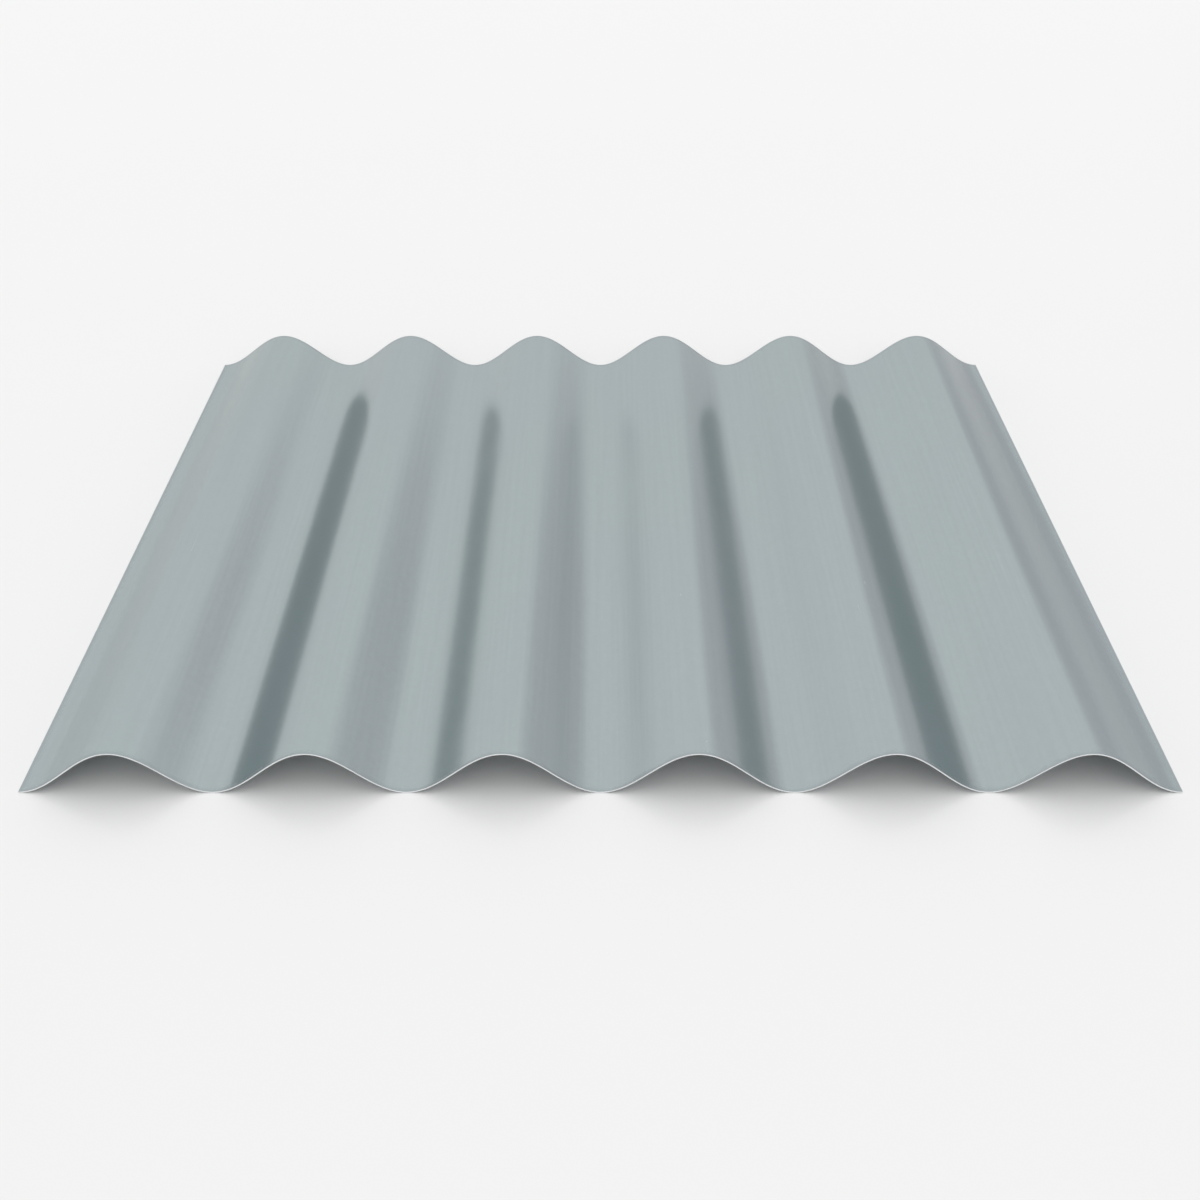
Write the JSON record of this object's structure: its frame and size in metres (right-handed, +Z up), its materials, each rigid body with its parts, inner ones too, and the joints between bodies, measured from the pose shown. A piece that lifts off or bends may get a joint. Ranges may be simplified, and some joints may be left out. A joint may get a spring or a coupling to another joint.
{
  "type": "corrugated metal sheet",
  "caption": "Short rectangular panel of thin sheet steel rolled into round parallel corrugations, both side edges down, for cladding roofs, walls and fences.",
  "frame": {"origin": "at floor level under the middle of the panel, on the underside of the middle valley", "axes": "+X runs across the corrugations, +Y runs along them, +Z is up, away from the floor that the valleys rest on"},
  "size_m": [0.4572, 0.4, 0.0195],
  "materials": {
    "zinc_coated_steel": "smooth satin zinc coating, light blue-grey, dulled to darker streaks low on the flanks, with bright sheared edges"
  },
  "bodies": {
    "root": {"corrugated_sheet": "zinc_coated_steel"}
  },
  "joints": []
}
